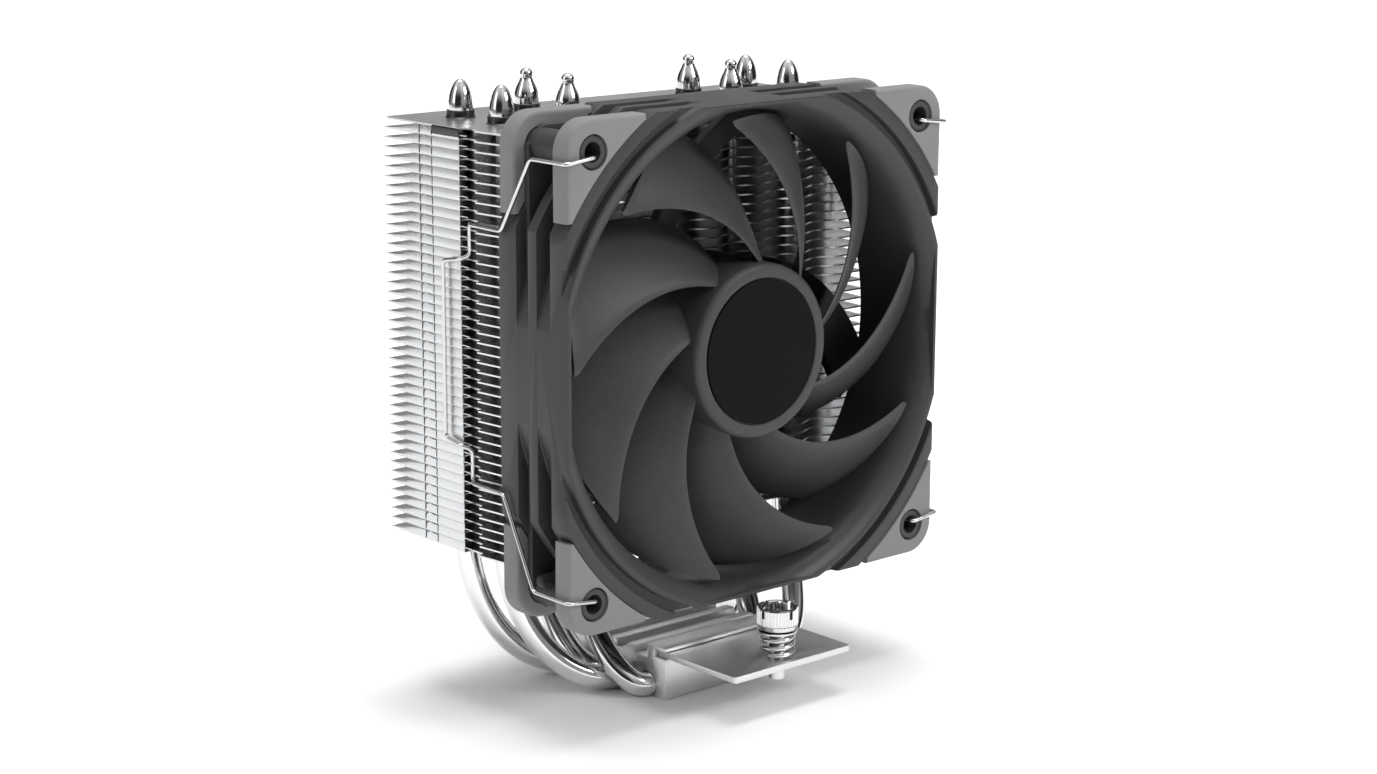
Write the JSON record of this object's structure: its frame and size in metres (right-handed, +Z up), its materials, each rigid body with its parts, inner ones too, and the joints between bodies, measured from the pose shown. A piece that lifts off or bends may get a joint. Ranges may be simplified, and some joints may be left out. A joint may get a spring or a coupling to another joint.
{
  "type": "cpu tower cooler",
  "caption": "Tower heat sink with bent heat pipes through stacked fins, a framed axial fan held by wire clips, and a base with spring screws.",
  "frame": {"origin": "centre of the base's contact face", "axes": "+Z up along the fin stack, -Y towards the fan's intake, +X to the right seen from the fan"},
  "size_m": [0.123, 0.0892, 0.1516],
  "materials": {
    "fin_aluminium": "bright rolled sheet",
    "base_aluminium": "light matte extrusion",
    "plate_steel": "satin with bright edges",
    "pipe_nickel": "polished nickel plate over copper",
    "screw_nickel": "polished nickel plate",
    "spring_wire": "bright drawn wire",
    "frame_plastic": "dark grey, fine moulded grain",
    "blade_plastic": "near black, fine matte",
    "pad_rubber": "mid grey, smooth matte",
    "hub_label": "blank black disc",
    "motor_steel": "turned steel",
    "magnet_ferrite": "dark bonded ferrite",
    "bearing_brass": "sintered bronze",
    "winding_copper": "enamelled copper",
    "board_green": "solder resist"
  },
  "bodies": {
    "cooler": {"base_block": "base_aluminium", "front_mounting_plate": "plate_steel", "rear_mounting_plate": "plate_steel", "heat_pipe_1": "pipe_nickel", "heat_pipe_2": "pipe_nickel", "heat_pipe_3": "pipe_nickel", "heat_pipe_4": "pipe_nickel", "fin_pair_01": "fin_aluminium", "fin_pair_02": "fin_aluminium", "fin_pair_03": "fin_aluminium", "fin_pair_04": "fin_aluminium", "fin_pair_05": "fin_aluminium", "fin_pair_06": "fin_aluminium", "fin_pair_07": "fin_aluminium", "fin_pair_08": "fin_aluminium", "fin_pair_09": "fin_aluminium", "fin_pair_10": "fin_aluminium", "fin_pair_11": "fin_aluminium", "fin_pair_12": "fin_aluminium", "fin_pair_13": "fin_aluminium", "fin_pair_14": "fin_aluminium", "fin_pair_15": "fin_aluminium", "fin_pair_16": "fin_aluminium", "fin_pair_17": "fin_aluminium", "fin_pair_18": "fin_aluminium", "fin_pair_19": "fin_aluminium", "fin_pair_20": "fin_aluminium", "fin_pair_21": "fin_aluminium", "fin_pair_22": "fin_aluminium", "fan_frame": "frame_plastic", "front_pad_top_right": "pad_rubber", "rear_pad_top_right": "pad_rubber", "front_pad_top_left": "pad_rubber", "rear_pad_top_left": "pad_rubber", "front_pad_bottom_left": "pad_rubber", "rear_pad_bottom_left": "pad_rubber", "front_pad_bottom_right": "pad_rubber", "rear_pad_bottom_right": "pad_rubber", "bearing_sleeve": "bearing_brass", "stator": "winding_copper", "circuit_board": "board_green", "front_screw_spring": "spring_wire", "rear_screw_spring": "spring_wire"},
    "rotor": {"impeller": "blade_plastic", "hub_disc": "hub_label", "rotor_yoke": "motor_steel", "magnet_ring": "magnet_ferrite", "shaft": "motor_steel"},
    "front_washer": {"front_screw_washer": "screw_nickel"},
    "front_screw": {"front_screw": "screw_nickel", "front_screw_retainer": "plate_steel"},
    "rear_washer": {"rear_screw_washer": "screw_nickel"},
    "rear_screw": {"rear_screw": "screw_nickel", "rear_screw_retainer": "plate_steel"},
    "left_clip": {"left_wire_clip": "spring_wire"},
    "right_clip": {"right_wire_clip": "spring_wire"}
  },
  "joints": [
    {"name": "fan_spin", "type": "hinge", "parent": "cooler", "child": "rotor", "pos_m": [0, -0.02, 0.0866], "axis": [0, -1, 0], "continuous": true},
    {"name": "front_screw_press", "type": "slide", "parent": "cooler", "child": "front_washer", "axis": [0, 0, -1], "range_m": [0, 0.0014], "stiffness_N_per_m": 2000, "springref_m": -0.001, "deforming": ["front_screw_spring"]},
    {"name": "front_screw_turn", "type": "hinge", "parent": "front_washer", "child": "front_screw", "pos_m": [0, -0.0385, 0.0179], "axis": [0, 0, 1], "continuous": true},
    {"name": "rear_screw_press", "type": "slide", "parent": "cooler", "child": "rear_washer", "axis": [0, 0, -1], "range_m": [0, 0.0014], "stiffness_N_per_m": 2000, "springref_m": -0.001, "deforming": ["rear_screw_spring"]},
    {"name": "rear_screw_turn", "type": "hinge", "parent": "rear_washer", "child": "rear_screw", "pos_m": [0, 0.0385, 0.0179], "axis": [0, 0, 1], "continuous": true},
    {"name": "left_clip_swing", "type": "hinge", "parent": "cooler", "child": "left_clip", "pos_m": [-0.0525, -0.0333, 0.0866], "axis": [0, 0, 1], "range_deg": [0, 22]},
    {"name": "right_clip_swing", "type": "hinge", "parent": "cooler", "child": "right_clip", "pos_m": [0.0525, -0.0333, 0.0866], "axis": [0, 0, -1], "range_deg": [0, 22]}
  ]
}
